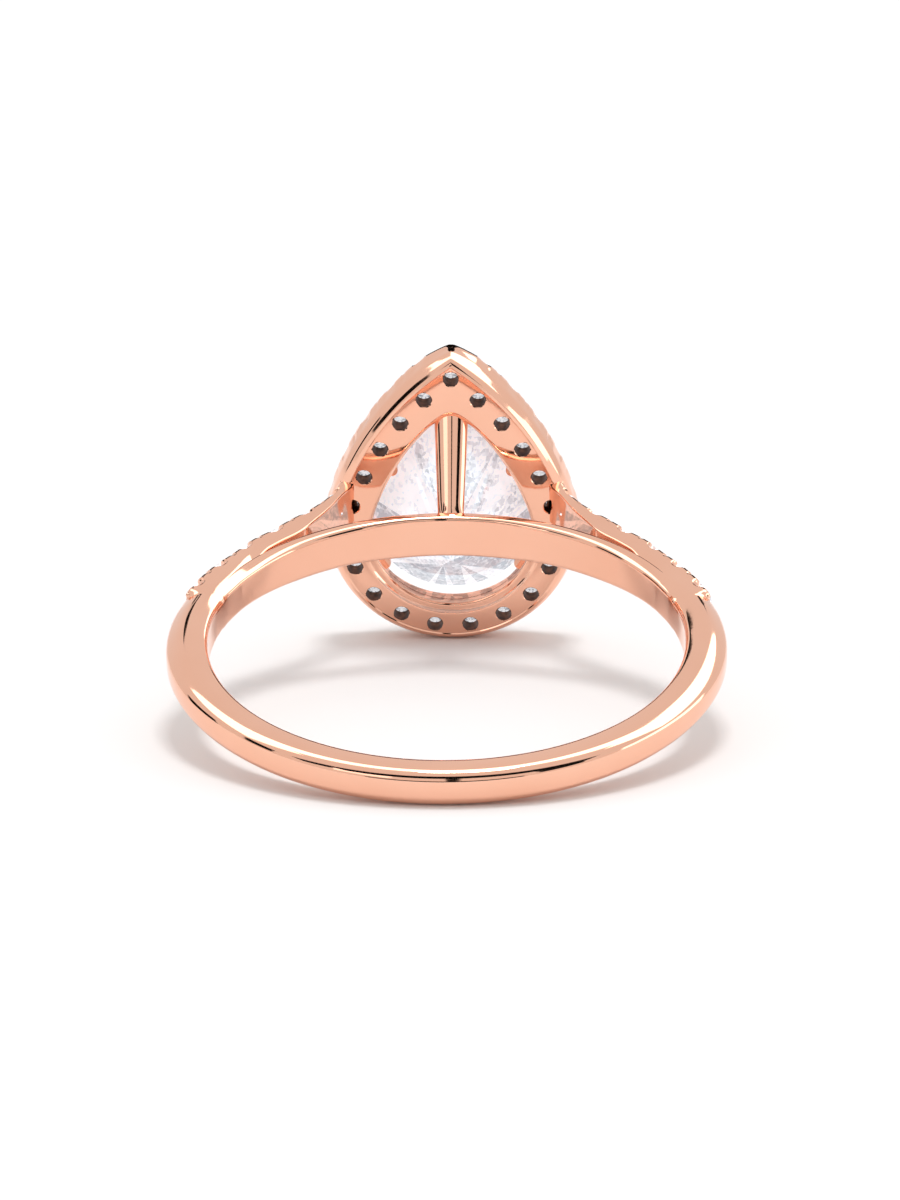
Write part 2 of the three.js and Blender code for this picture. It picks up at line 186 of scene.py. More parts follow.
def rose_gold():
    material, tree, shader = new_material("rose_gold_polished")
    where = tree.nodes.new("ShaderNodeTexCoord").outputs["Object"]
    tone = ramp(tree, noise(tree, 260, 3, where), (0.93, 0.51, 0.357), (0.955, 0.54, 0.385))
    tree.links.new(tone, shader.inputs["Base Color"])
    shader.inputs["Metallic"].default_value = 1.0
    gloss = between(tree, noise(tree, 900, 4, where), 0.035, 0.1)
    tree.links.new(gloss, shader.inputs["Roughness"])
    bump = tree.nodes.new("ShaderNodeBump")
    bump.inputs["Strength"].default_value = 0.03
    bump.inputs["Distance"].default_value = 0.00002
    tree.links.new(noise(tree, 5200, 5, where), bump.inputs["Height"])
    tree.links.new(bump.outputs["Normal"], shader.inputs["Normal"])
    return material


def drill_shade_gold():
    """The walls of the drilled holes: rougher than the polished faces, and near black, which is painted
    shade for the shadow inside the holes.
    """
    material, tree, shader = new_material("rose_gold_painted_drill_shade")
    where = tree.nodes.new("ShaderNodeTexCoord").outputs["Object"]
    tone = ramp(tree, noise(tree, 4000, 3, where), (0.045, 0.014, 0.006), (0.16, 0.06, 0.03))
    tree.links.new(tone, shader.inputs["Base Color"])
    shader.inputs["Metallic"].default_value = 1.0
    shader.inputs["Roughness"].default_value = 0.4
    return material


def satin_gold():
    """The face under the head that no polishing wheel reaches."""
    material, tree, shader = new_material("rose_gold_satin")
    where = tree.nodes.new("ShaderNodeTexCoord").outputs["Object"]
    tone = ramp(tree, noise(tree, 3000, 3, where), (0.95, 0.76, 0.66), (0.97, 0.8, 0.7))
    tree.links.new(tone, shader.inputs["Base Color"])
    shader.inputs["Metallic"].default_value = 0.6
    shader.inputs["Roughness"].default_value = 0.55
    return material


def painted_facet_sparkle(tree, where, scale, low, high):
    """Painted reflections: a tone that changes from facet to facet and from chip to chip, standing in
    for the light and dark that a cut stone's facets reflect.
    """
    facing = tree.nodes.new("ShaderNodeNewGeometry").outputs["Normal"]
    by_facet = ramp(tree, noise(tree, 11.0, 0, facing), (0, 0, 0), (1, 1, 1), 0.42, 0.58)
    chips = tree.nodes.new("ShaderNodeTexVoronoi")
    chips.distance = "CHEBYCHEV"
    chips.inputs["Scale"].default_value = scale
    tree.links.new(where, chips.inputs["Vector"])
    mix = tree.nodes.new("ShaderNodeMix")
    mix.inputs["Factor"].default_value = 0.55
    tree.links.new(by_facet, mix.inputs["A"])
    tree.links.new(chips.outputs["Color"], mix.inputs["B"])
    return ramp(tree, mix.outputs["Result"], low, high, 0.2, 0.68)


def diamond(name, scale, low, high, clear, glow):
    """Clear facets with painted reflections and a painted glow: the white light that a cut stone sends
    back out of itself is painted as emission.
    """
    material, tree, shader = new_material(name)
    where = tree.nodes.new("ShaderNodeTexCoord").outputs["Object"]
    tone = painted_facet_sparkle(tree, where, scale, low, high)
    tree.links.new(tone, shader.inputs["Base Color"])
    # The painted facet tones also glow: painted light.
    tree.links.new(tone, shader.inputs["Emission Color"])
    shader.inputs["Emission Strength"].default_value = glow
    shader.inputs["IOR"].default_value = 2.417
    shader.inputs["Transmission Weight"].default_value = clear
    tree.links.new(between(tree, noise(tree, 1500, 2, where), 0.0, 0.03), shader.inputs["Roughness"])
    return material


GOLD = rose_gold()
# The near-black gold for the walls of the holes is painted shade.
DRILL_SHADE = drill_shade_gold()
SATIN = satin_gold()
# The stones' facet tones are painted reflections, and their glow is painted light.
CENTRE_GLASS = diamond("centre_diamond_glass", 7400, (0.36, 0.43, 0.5), (0.84, 0.91, 0.97), 0.1, 0.42)
MELEE_GLASS = diamond("small_diamond_glass", 5000, (0.3, 0.32, 0.35), (0.95, 0.97, 1.0), 0.15, 0.62)


# ------------------------------------------------------------------ mesh tools

def add_piece(name, points, faces, material, nodes, sharp=None):
    """A mesh from points in the ring's frame. sharp is the crease angle in degrees; None is flat."""
    mesh = bpy.data.meshes.new(name)
    world = [RING @ Vector(p) for p in points]
    mesh.from_pydata(world, [], faces)
    mesh.update()
    piece = bpy.data.objects.new(name, mesh)
    bpy.context.scene.collection.objects.link(piece)
    mesh.materials.append(material)
    face_outwards(mesh)
    if sharp is not None:
        smooth(mesh, sharp)
    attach(piece, "root")
    if nodes:
        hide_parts(*nodes)
    return piece


def face_outwards(mesh):
    work = bmesh.new()
    work.from_mesh(mesh)
    bmesh.ops.recalc_face_normals(work, faces=work.faces)
    work.to_mesh(mesh)
    work.free()


def smooth(mesh, angle):
    limit = math.radians(angle)
    work = bmesh.new()
    work.from_mesh(mesh)
    for face in work.faces:
        face.smooth = True
    for edge in work.edges:
        edge.smooth = len(edge.link_faces) != 2 or edge.calc_face_angle(0) < limit
    work.to_mesh(mesh)
    work.free()


def skin(rings, closed_path=False):
    """Points and faces of a skin over equal rings; the ends close with one face each."""
    count = len(rings[0])
    points = [tuple(p) for ring in rings for p in ring]
    faces = []
    spans = len(rings) if closed_path else len(rings) - 1
    for r in range(spans):
        a = r * count
        b = ((r + 1) % len(rings)) * count
        for i in range(count):
            j = (i + 1) % count
            faces.append((a + i, a + j, b + j, b + i))
    if not closed_path:
        faces.append(tuple(range(count - 1, -1, -1)))
        last = (len(rings) - 1) * count
        faces.append(tuple(last + i for i in range(count)))
    return points, faces


def give_second(piece, material, chosen):
    """Gives a second material to every face that the function chosen picks."""
    piece.data.materials.append(material)
    for face in piece.data.polygons:
        if chosen(face):
            face.material_index = len(piece.data.materials) - 1


def merge_parts(parts):
    points, faces = [], []
    for some_points, some_faces in parts:
        base = len(points)
        points += list(some_points)
        faces += [tuple(base + i for i in face) for face in some_faces]
    return points, faces


def cut(piece, cutters):
    """Takes closed cutter meshes, given in the ring's frame, out of a piece."""
    points, faces = merge_parts(cutters)
    mesh = bpy.data.meshes.new("cutter")
    mesh.from_pydata([RING @ Vector(p) for p in points], [], faces)
    face_outwards(mesh)
    tool = bpy.data.objects.new("cutter", mesh)
    bpy.context.scene.collection.objects.link(tool)
    change = piece.modifiers.new("cut", "BOOLEAN")
    change.operation = "DIFFERENCE"
    change.solver = "EXACT"
    change.object = tool
    bpy.context.view_layer.update()
    shaped = bpy.data.meshes.new_from_object(piece.evaluated_get(bpy.context.evaluated_depsgraph_get()))
    piece.modifiers.clear()
    piece.data = shaped
    bpy.data.objects.remove(tool)


def lerp(a, b, t):
    return a + (b - a) * t


def blend(some, others, t):
    return tuple(lerp(a, b, t) for a, b in zip(some, others))


def smoothstep(x, low, high):
    t = min(1.0, max(0.0, (x - low) / (high - low)))
    return t * t * (3 - 2 * t)


def arc(centre, radius, start, end, steps):
    turns = [math.radians(lerp(start, end, i / steps)) for i in range(steps + 1)]
    return [(centre[0] + radius * math.cos(a), centre[1] + radius * math.sin(a)) for a in turns]


def line(a, b, steps):
    return [(lerp(a[0], b[0], i / steps), lerp(a[1], b[1], i / steps)) for i in range(1, steps)]


# ------------------------------------------------------------------ band

OUTER_DOME = 0.1
SIDE_BOW = 0.055
BOW_AT = 0.55
EDGE_IN = 0.16
EDGE_OUT_PALM = 0.36
EDGE_OUT_SIDE = 0.6
EDGE_OUT_SET = 0.2
EDGE_OUT_RAIL = 0.14
TILT_AT = 0.55
ROLL_FROM = 0.12
NOTCH = 0.24
CHANNEL = 0.34
FOOT_FLARE = 0.08
SEAM = 0.0015
DEEP_SEAM = 0.03
CURVE_STEPS = 600
PALM_STEPS = 110
SHOULDER_STEPS = 260
RAIL_STEPS = 190
# How a section is formed: the dome of its outer face, the roll and bow of its sides, where their tilt
# starts and the radius of its inner edge
PALM_FORM = (OUTER_DOME, 0.0, 0.02, TILT_AT, EDGE_IN)
BAND_FORM = (OUTER_DOME, 0.0, SIDE_BOW, TILT_AT, EDGE_IN)
SET_FORM = (OUTER_DOME, 0.0, 0.0, TILT_AT, EDGE_IN)
RAIL_FORM = (0.08, 0.36, 0.0, 0.32, EDGE_IN)
SHOULDER_FORM = (OUTER_DOME, 0.0, 0.0, TILT_AT, 0.06)


def spline(points, t):
    """Uniform Catmull-Rom through the points, t from 0 to 1."""
    spot = (len(points) - 1) * t
    i = min(int(spot), len(points) - 2)
    w = spot - i
    p = [points[max(0, i - 1)], points[i], points[i + 1], points[min(len(points) - 1, i + 2)]]
    place = []
    for k in range(2):
        v0 = (p[2][k] - p[0][k]) / 2
        v1 = (p[3][k] - p[1][k]) / 2
        cubic = (2 * p[1][k] - 2 * p[2][k] + v0 + v1) * w**3
        square = (-3 * p[1][k] + 3 * p[2][k] - 2 * v0 - v1) * w**2
        place.append(cubic + square + v0 * w + p[1][k])
    return np.array(place)


def on_circle(radius, degrees):
    turn = math.radians(degrees)
    return np.array((radius * math.sin(turn), radius * math.cos(turn)))


# Where the band parts from the rail: (degrees from the head, radius) inside, degrees outside
SPLIT_IN = ((75.4, 8.65), (68, 8.65), (60, 8.66), (53, 8.86), (47, 9.22))
SPLIT_OUT = (75.4, 67.4, 59.4, 51.4)
INNER_CURVE = [on_circle(radius, turn) for turn, radius in SPLIT_IN] + list(map(np.array, SHOULDER_IN))
OUTER_CURVE = [on_circle(SIDE_OUT, turn) for turn in SPLIT_OUT] + list(map(np.array, SHOULDER_OUT))


def outer_lengths():
    points = [spline(OUTER_CURVE, i / CURVE_STEPS) for i in range(CURVE_STEPS + 1)]
    lengths = [0.0]
    for a, b in zip(points, points[1:]):
        lengths.append(lengths[-1] + float(np.linalg.norm(b - a)))
    return points, lengths


OUTER_POINTS, OUTER_LENGTHS = outer_lengths()


def outer_at(distance):
    i = int(np.searchsorted(OUTER_LENGTHS, distance))
    i = min(max(i, 1), len(OUTER_POINTS) - 1)
    along = OUTER_POINTS[i] - OUTER_POINTS[i - 1]
    along /= np.linalg.norm(along)
    return OUTER_POINTS[i], np.array((along[1], -along[0]))


def scallop(phase):
    """How deep the stone-set edge is cut: 1 beside a stone's middle, a nick between its beads."""
    near_stone = abs(phase - round(phase))
    near_gap = 0.5 - near_stone
    wide = max(0.0, 1 - (near_stone / 0.2) ** 2)
    nick = max(0.0, 1 - (near_gap / 0.07) ** 2)
    return max(wide**0.6, 0.42 * nick**0.7)


def tilt_at(angle):
    """How far the sides fall away towards the finger, by the angle from the head in degrees."""
    return 0.06 + 0.24 * smoothstep(abs(angle), 10, 27) * (1 - smoothstep(abs(angle), 64, 88))


def rounded_plan(depth, half_width, edge_in, edge_out):
    """Closed outline of a section, as (along the depth, across the width)."""
    corners = [
        (edge_in, edge_in - half_width, edge_in, 180),
        (depth - edge_out, edge_out - half_width, edge_out, 270),
        (depth - edge_out, half_width - edge_out, edge_out, 0),
        (edge_in, half_width - edge_in, edge_in, 90),
    ]
    plan = []
    for n, (u, v, r, start) in enumerate(corners):
        plan += arc((u, v), r, start, start + 90, 9)
        u, v, r, start = corners[(n + 1) % 4]
        turn = math.radians(start)
        plan += line(plan[-1], (u + r * math.cos(turn), v + r * math.sin(turn)), 12)
    return plan


def band_section(inner, outer, half_width, tilt, edge_out, notch=0.0, channel=0.0, form=BAND_FORM):
    """The plan with bowed sides and a domed outer face, stood between two points of the curves."""
    dome, roll, side_bow, tilt_from, edge_in = form
    out = outer - inner
    depth = float(np.linalg.norm(out))
    out = out / depth
    ring = []
    for u, v in rounded_plan(depth - dome, half_width, edge_in, edge_out):
        share = abs(v) / half_width
        bow = side_bow * ((u - BOW_AT) / BOW_AT) ** 2
        bow += tilt * (tilt_from - u + math.hypot(tilt_from - u, 0.1)) / 2
        bow += roll * max(0.0, u - ROLL_FROM) ** 2
        v -= math.copysign(bow * smoothstep(share, 0.3, 0.9), v)
        if u > depth * 0.5:
            rise = smoothstep(u, depth * 0.5, depth - dome)
            u += rise * dome * max(0.0, 1 - share**2)
            u -= rise * notch * smoothstep(share, 0.55, 0.8)
            u -= rise * channel * (1 - smoothstep(share, 0.5, 0.66))
        place = inner + out * u
        ring.append((place[0], place[1], v))
    return ring


def shoulder_phase(distance):
    return (distance - SHOULDER_START) / SHOULDER_PITCH


def set_share(distance):
    """1 where the shoulder carries stones, 0 beyond them."""
    last = SHOULDER_START - (SHOULDER_STONES - 0.5) * SHOULDER_PITCH
    return smoothstep(distance, last, last + 0.25)


def palm_stations():
    """From the palm round to where the band splits."""
    stations = []
    for i in range(PALM_STEPS + 1):
        angle = lerp(180, BRANCH + 1, i / PALM_STEPS)
        share = smoothstep(180 - angle, 45, 95)
        inner, outer = on_circle(BORE, angle), on_circle(lerp(PALM_OUT, SIDE_OUT, share), angle)
        width = lerp(PALM_HALF_WIDTH, SIDE_HALF_WIDTH, share)
        edge = lerp(EDGE_OUT_PALM, EDGE_OUT_SIDE, share)
        form = blend(PALM_FORM, BAND_FORM, share)
        stations.append((inner, outer, width, tilt_at(angle), edge, 0.0, 0.0, form))
    return stations


def shoulder_stations():
    """From the split up to the head."""
    stations = []
    for i in range(1, SHOULDER_STEPS + 1):
        t = i / SHOULDER_STEPS
        inner, outer = spline(INNER_CURVE, t), spline(OUTER_CURVE, t)
        width = lerp(SIDE_HALF_WIDTH, SHOULDER_HALF_WIDTH, min(1, 2 * t))
        width += FOOT_FLARE * smoothstep(t, 0.88, 0.98)
        distance = np.interp(t * CURVE_STEPS, range(CURVE_STEPS + 1), OUTER_LENGTHS)
        carries = set_share(distance)
        edge = lerp(EDGE_OUT_SIDE, EDGE_OUT_SET, carries)
        notch = NOTCH * carries * scallop(shoulder_phase(distance))
        turn = math.degrees(math.atan2(inner[0], inner[1]))
        apart = smoothstep(float(np.linalg.norm(inner)), 8.8, 9.3)
        tilt = lerp(tilt_at(turn), 0.02, apart)
        form = blend(blend(BAND_FORM, SET_FORM, carries), SHOULDER_FORM, apart)
        stations.append((inner, outer, width, tilt, edge, notch, CHANNEL * carries, form))
    return stations


def make_band():
    half = palm_stations() + shoulder_stations()
    flip = np.array((-1, 1))
    rings = [band_section(inner, outer, *rest) for inner, outer, *rest in reversed(half)]
    rings += [band_section(inner * flip, outer * flip, *rest) for inner, outer, *rest in half[1:]]
    points, faces = skin(rings)
    add_piece("band_and_shoulders", points, faces, GOLD, ["shank"], 40)


def rail_ring(angle):
    """The rail lies a hair inside the band where the two are one, so that no seam shows."""
    merged = smoothstep(abs(angle), 34, 60)
    sink = SEAM + DEEP_SEAM * smoothstep(abs(angle), 62, 70)
    width = lerp(RAIL_HALF_WIDTH, SIDE_HALF_WIDTH, merged) - sink
    form = blend(RAIL_FORM, SET_FORM, merged)
    inner, outer = on_circle(BORE + sink, angle), on_circle(RAIL_OUT, angle)
    return band_section(inner, outer, width, tilt_at(angle), EDGE_OUT_RAIL, form=form)


def make_rail():
    reach = BRANCH - 1
    rings = [rail_ring(lerp(-reach, reach, i / RAIL_STEPS)) for i in range(RAIL_STEPS + 1)]
    points, faces = skin(rings)
    rail = add_piece("finger_rail", points, faces, GOLD, ["finger_bridge"], 40)
    give_second(rail, SATIN, faces_the_head)


def faces_the_head(face):
    out = TURN.transposed() @ face.normal
    return out.y > 0.6 and abs((RING.inverted() @ face.center).z) < 0.7 * RAIL_HALF_WIDTH


# ------------------------------------------------------------------ pear

def pear_side():
    rise = PEAR_POINT - PEAR_CENTRE
    extra = (rise**2 - PEAR_RADIUS**2) / (2 * (PEAR_RADIUS - rise * math.sin(PEAR_FLARE)))
    return PEAR_RADIUS + extra, extra * math.cos(PEAR_FLARE), PEAR_CENTRE - extra * math.sin(PEAR_FLARE)


SIDE_RADIUS, SIDE_X, SIDE_Z = pear_side()
SIDE_SWEEP = math.acos(SIDE_X / SIDE_RADIUS) - PEAR_FLARE
SIDE_LENGTH = SIDE_SWEEP * SIDE_RADIUS
PEAR_HALF = SIDE_LENGTH + (math.pi / 2 + PEAR_FLARE) * PEAR_RADIUS
PITCH = 2 * PEAR_HALF / HALO_STONES


def pear(distance, offset):
    """(x, z) on the pear at a distance round it from the point, drawn this far outside the stones."""
    distance %= 2 * PEAR_HALF
    flip = distance > PEAR_HALF
    if flip:
        distance = 2 * PEAR_HALF - distance
    if distance < SIDE_LENGTH:
        r = SIDE_RADIUS + offset
        full = math.acos(SIDE_X / r) - PEAR_FLARE
        turn = PEAR_FLARE + full * (1 - distance / SIDE_LENGTH)
        x, z = r * math.cos(turn) - SIDE_X, SIDE_Z + r * math.sin(turn)
    else:
        turn = PEAR_FLARE - (distance - SIDE_LENGTH) / PEAR_RADIUS
        r = PEAR_RADIUS + offset
        x, z = r * math.cos(turn), PEAR_CENTRE + r * math.sin(turn)
    return (-x, z) if flip else (x, z)


def halo_section():
    """Closed profile as (offset from the stones' line, height above the back)."""
    lip = HALO_LIP
    bevel = 0.04
    profile = arc((HALO_IN + lip, lip), lip, 180, 270, 8)
    profile += line((HALO_IN + lip, 0), HALO_WALL[0], 26)
    for a, b in zip(HALO_WALL, HALO_WALL[1:]):
        profile += [a] + line(a, b, 4)
    profile += [HALO_WALL[-1], (HALO_RIM_OUT, HALO_DEPTH), (HALO_FLOOR_OUT, HALO_FLOOR)]
    profile += line((HALO_FLOOR_OUT, HALO_FLOOR), (HALO_FLOOR_IN, HALO_FLOOR), 6)
    profile += [(HALO_FLOOR_IN, HALO_FLOOR), (HALO_FLOOR_IN - bevel, HALO_FRONT_IN)]
    profile += [(HALO_RIM_IN, HALO_FRONT_IN), (HALO_RIM_IN, HALO_LEDGE)]
    profile += [(HALO_IN + bevel, HALO_LEDGE), (HALO_IN, HALO_LEDGE - bevel)]
    profile += line((HALO_IN, HALO_LEDGE - bevel), (HALO_IN, lip), 4)
    return profile


def soften_point(x, z, offset, height):
    """Rounds the pear's pointed end: well inside its opening, and only a little on its outside."""
    if z < 0:
        return z
    slope = SIDE_X / math.sqrt((SIDE_RADIUS + offset) ** 2 - SIDE_X**2)
    front = smoothstep(height, 0.2, 1.4)
    blunt = OPENING_BLUNT * min(1.0, offset / HALO_IN) if offset < 0 else OUTSIDE_BLUNT * front
    drop = 0.0 if offset < 0 else POINT_DROP * front * max(0.0, 1 - abs(x) / POINT_REACH)
    return z - drop - slope * (math.hypot(x, blunt) - abs(x))


def plate_height(z, offset, height):
    """The plate is slightly bowed, and lower round the lower half of its opening."""
    if height > HALO_LEDGE / 2 or offset > HALO_WALL[0][0]:
        return height
    across = (offset + 0.27) / 0.63
    lower = 1 - smoothstep(z, -3.6, -0.6)
    inside = 1 - smoothstep(offset, -0.62, -0.5)
    return height + PLATE_BOW * across**2 + PLATE_LOW * lower * inside


def halo_ring(profile, distance):
    """The profile at one place round the pear, with the scalloped edge that holds the stones."""
    from_tip = min(distance, 2 * PEAR_HALF - distance)
    cutting = scallop(distance / PITCH) * smoothstep(from_tip, 0.5, 1.4)
    ring = []
    for offset, height in profile:
        front = smoothstep(height, 0.75, 1.2)
        if offset > 0.48:
            offset -= HALO_NOTCH * cutting * front
            height -= HALO_DIP * cutting * smoothstep(height, 1.3, 1.45)
        x, z = pear(distance, offset)
        z = soften_point(x, z, offset, height)
        ring.append((x, HALO_BACK + plate_height(z, offset, height), z))
    return ring


def make_halo():
    profile = halo_section()
    steps = HALO_STONES * 26
    rings = [halo_ring(profile, 2 * PEAR_HALF * i / steps) for i in range(steps)]
    points, faces = skin(rings, closed_path=True)
    halo = add_piece("pear_halo", points, faces, GOLD, ["halo_frame"])
    cut(halo, [drill(*pear(k * PITCH, 0)) for k in range(HALO_STONES)])
    smooth(halo.data, 32)
    # The walls inside the drilled holes take the near-black gold: painted shade.
    give_second(halo, DRILL_SHADE, in_drill)


def in_drill(face):
    point = RING.inverted() @ face.center
    for k in range(HALO_STONES):
        x, z = pear(k * PITCH, 0)
        if math.hypot(point.x - x, point.z - z) < AZURE + 0.01 and point.y > HALO_BACK + 0.06:
            return True
    return False


def drill(x, z):
    """A hole with a small countersink at the halo's back."""
    rings = []
    turns = [2 * math.pi * k / DRILL_SIDES for k in range(DRILL_SIDES)]
    for height, radius in ((-0.1, AZURE + COUNTERSINK), (0.05, AZURE), (1.35, AZURE)):
        y = HALO_BACK + height
        rings.append([(x + radius * math.cos(a), y, z + radius * math.sin(a)) for a in turns])
    return skin(rings)


# ------------------------------------------------------------------ strut and claws

def make_strut():
    rings = []
    steps = 44
    for i in range(steps + 1):
        t = i / steps
        y = lerp(STRUT_FROM, STRUT_TO, t)
        foot = math.exp(-((t / 0.07) ** 2))
        sizes = blend(STRUT_FOOT, STRUT_HEAD, t)
        half_width, low, high = (size + flare * foot for size, flare in zip(sizes, STRUT_FLARE))
        ring = []
        for k in range(48):
            a = -2 * math.pi * k / 48
            x = half_width * math.cos(a)
            ring.append((x, y, (low + high) / 2 + (high - low) / 2 * math.sin(a)))
        rings.append(ring)
    points, faces = skin(rings)
    add_piece("point_strut", points, faces, GOLD, ["tip_strut"], 40)


def claw_shape(x, z, lean_x, lean_z, radius, height):
    """A claw that rises from the halo's front and bends over the stone."""
    rings = []
    steps = 14
    for i in range(steps + 1):
        t = i / steps
        bend = smoothstep(t, 0.5, 1.0) * 0.3
        y = HALO_BACK + HALO_LEDGE - 0.1 + (height + 0.1) * math.sin(t * math.pi / 2)
        r = radius * math.sqrt(max(0.0, 1 - max(0.0, (t - 0.6) / 0.4) ** 2.4)) + 0.002
        ring = []
        for k in range(18):
            a = 2 * math.pi * k / 18
            ring.append((x + lean_x * bend + r * math.cos(a), y, z + lean_z * bend + r * math.sin(a)))
        rings.append(ring)
    return skin(rings)


def make_claws():
    for n, step in enumerate(CLAW_STEPS):
        x, z = pear(step * PITCH, HALO_IN)
        lean = Vector((-x, CULET[1] - z)).normalized()
        points, faces = claw_shape(x, z, lean.x, lean.y, CLAW_RADIUS, CLAW_HEIGHT)
        add_piece(f"claw_over_stone_{n + 1}", points, faces, GOLD, [f"claw_{n + 1}"], 50)
    arms = []
    for side in (-1, 1):
        for k in range(7):
            x, z = pear(side * POINT_CLAW_PITCH * k, HALO_RIM_IN - 0.14)
            lean = Vector((-x * 0.4, -1)).normalized()
            height = POINT_CLAW_HEIGHT - 0.02 * k
            arms.append(claw_shape(x, z - 0.02, lean.x, lean.y, POINT_CLAW_RADIUS, height))
    points, faces = merge_parts(arms)
    add_piece("claw_over_point", points, faces, GOLD, ["claw_point"], 50)


# ------------------------------------------------------------------ beads

def bead(centre, out, radius, stretch):
    """A small rounded bead standing along a direction."""
    out = Vector(out).normalized()
    side = out.orthogonal().normalized()
    other = out.cross(side)
    rings = []
    for i in range(7):
        a = math.radians(lerp(-60, 88, i / 6))
        r = radius * math.cos(a)
        lift = radius * math.sin(a) * stretch
        ring = []
        for k in range(12):
            b = 2 * math.pi * k / 12
            spot = Vector(centre) + out * lift + side * (r * math.cos(b)) + other * (r * math.sin(b))
            ring.append(tuple(spot))
        rings.append(ring)
    return skin(rings)


def make_halo_beads():
    """Pairs of beads between the stones, outside and inside them, but none at the point."""
    rows = ((HALO_RIM_OUT, 0.16, HALO_DEPTH), (HALO_FLOOR_IN, 0.12, HALO_FRONT_IN))
    parts = []
    for k in range(HALO_STONES):
        for offset, spread, edge in rows:
            height = edge - HALO_BEAD
            for shift in (-spread, spread):
                distance = (k + 0.5) * PITCH + shift
                if BEADLESS < distance < 2 * PEAR_HALF - BEADLESS:
                    x, z = pear(distance, offset)
                    parts.append(bead((x, HALO_BACK + height, z), (0, 1, 0), HALO_BEAD, 1.2))
    points, faces = merge_parts(parts)
    add_piece("halo_beads", points, faces, GOLD, [], 50)


def make_shoulder_beads(side):
    parts = []
    for n in range(SHOULDER_STONES):
        shifts = (-SHOULDER_BEAD_SHIFT, SHOULDER_BEAD_SHIFT)
        if n == SHOULDER_STONES - 1:
            shifts = shifts[1:]
        for shift in shifts:
            distance = SHOULDER_START - (n + 0.5) * SHOULDER_PITCH + shift
            place, out = outer_at(distance)
            spot = place - out * SHOULDER_BEAD_SINK
            for z in (-SHOULDER_BEAD_Z, SHOULDER_BEAD_Z):
                centre = (side * spot[0], spot[1], z)
                parts.append(bead(centre, (side * out[0], out[1], 0), SHOULDER_BEAD, 1.0))
    points, faces = merge_parts(parts)
    name = "left" if side < 0 else "right"
    add_piece(f"{name}_shoulder_beads", points, faces, GOLD, [], 50)


# ------------------------------------------------------------------ stones

def brilliant(edge, axis, heights, fine):
    """Facets of a brilliant. edge(share) is the girdle's (x, z) round from its first point, axis the
    culet's (x, z), heights the culet, girdle bottom, girdle top and table along Y."""
    culet, low, high, top = heights
    count = MAINS * 2 * fine
    rim = [edge(i / count) for i in range(count)]

    def corner(share, part, height):
        x, z = edge(share % 1.0)
        return (axis[0] + (x - axis[0]) * part, height, axis[1] + (z - axis[1]) * part)

    points = [(axis[0], culet, axis[1])]
    pavilion = [len(points) + k for k in range(MAINS)]
    part, rise = PAVILION_CORNER
    points += [corner((k + 0.5) / MAINS, part, lerp(culet, low, rise)) for k in range(MAINS)]
    bottom = [len(points) + i for i in range(count)]
    points += [(x, low, z) for x, z in rim]
    upper = [len(points) + i for i in range(count)]
    points += [(x, high, z) for x, z in rim]
    crown = [len(points) + k for k in range(MAINS)]
    part, rise = CROWN_CORNER
    points += [corner(k / MAINS, part, lerp(high, top, rise)) for k in range(MAINS)]
    table = [len(points) + k for k in range(MAINS)]
    points += [corner((k + 0.5) / MAINS, TABLE, top) for k in range(MAINS)]
    faces = []
    for k in range(MAINS):
        here = 2 * fine * k
        after = pavilion[k]
        faces.append((0, pavilion[k - 1], bottom[here]))
        faces.append((0, bottom[here], after))
        for start in (here, here + fine):
            for j in range(fine):
                a, b = (start + j) % count, (start + j + 1) % count
                faces.append((after, bottom[a], bottom[b]))
        for start in (here - fine, here):
            for j in range(fine):
                a, b = (start + j) % count, (start + j + 1) % count
                faces.append((crown[k], upper[b], upper[a]))
        mid = upper[(here + fine) % count]
        faces.append((crown[k], mid, table[k]))
        faces.append((mid, crown[(k + 1) % MAINS], table[k]))
        faces.append((table[k - 1], crown[k], table[k]))
    for i in range(count):
        j = (i + 1) % count
        faces.append((bottom[i], upper[i], upper[j], bottom[j]))
    faces.append(tuple(table))
    return points, faces


def round_stone(radius, centre, out, girdle_at=0.0):
    out = Vector(out).normalized()
    side = Vector((0, 0, 1)).cross(out)
    side = side.normalized() if side.length > 0.1 else Vector((1, 0, 0))
    other = side.cross(out)

    def edge(share):
        a = 2 * math.pi * share
        return radius * math.cos(a), radius * math.sin(a)

    heights = [part * radius for part in ROUND_HEIGHTS]
    points, faces = brilliant(edge, (0, 0), heights, fine=2)
    middle = Vector(centre) + out * girdle_at
    placed = [tuple(middle + side * x + out * y + other * z) for x, y, z in points]
    return placed, faces


def make_stones():
    def edge(share):
        return pear(share * 2 * PEAR_HALF, STONE_INSET)

    heights = (CULET[0], GIRDLE_Y, GIRDLE_Y + GIRDLE_DEPTH, GIRDLE_Y + GIRDLE_DEPTH + CROWN_HEIGHT)
    points, faces = brilliant(edge, (0, CULET[1]), heights, fine=6)
    add_piece("centre_pear_diamond", points, faces, CENTRE_GLASS, ["centre_diamond"])
    for k in range(HALO_STONES):
        x, z = pear(k * PITCH, 0)
        centre = (x, HALO_BACK + HALO_STONE_HEIGHT, z)
        points, faces = round_stone(HALO_STONE, centre, (0, 1, 0))
        node = f"halo_diamond_{k + 1:02d}"
        add_piece(f"halo_brilliant_{k + 1:02d}", points, faces, MELEE_GLASS, [node])
    for word, side in (("left", -1), ("right", 1)):
        for k in range(SHOULDER_STONES):
            place, out = outer_at(SHOULDER_START - k * SHOULDER_PITCH)
            centre = (side * place[0], place[1], 0)
            points, faces = round_stone(SHOULDER_STONE, centre, (side * out[0], out[1], 0), -0.06)
            node = f"{word}_shoulder_diamond_{k + 1}"
            add_piece(f"{word}_shoulder_brilliant_{k + 1}", points, faces, MELEE_GLASS, [node])


# ------------------------------------------------------------------ camera and studio

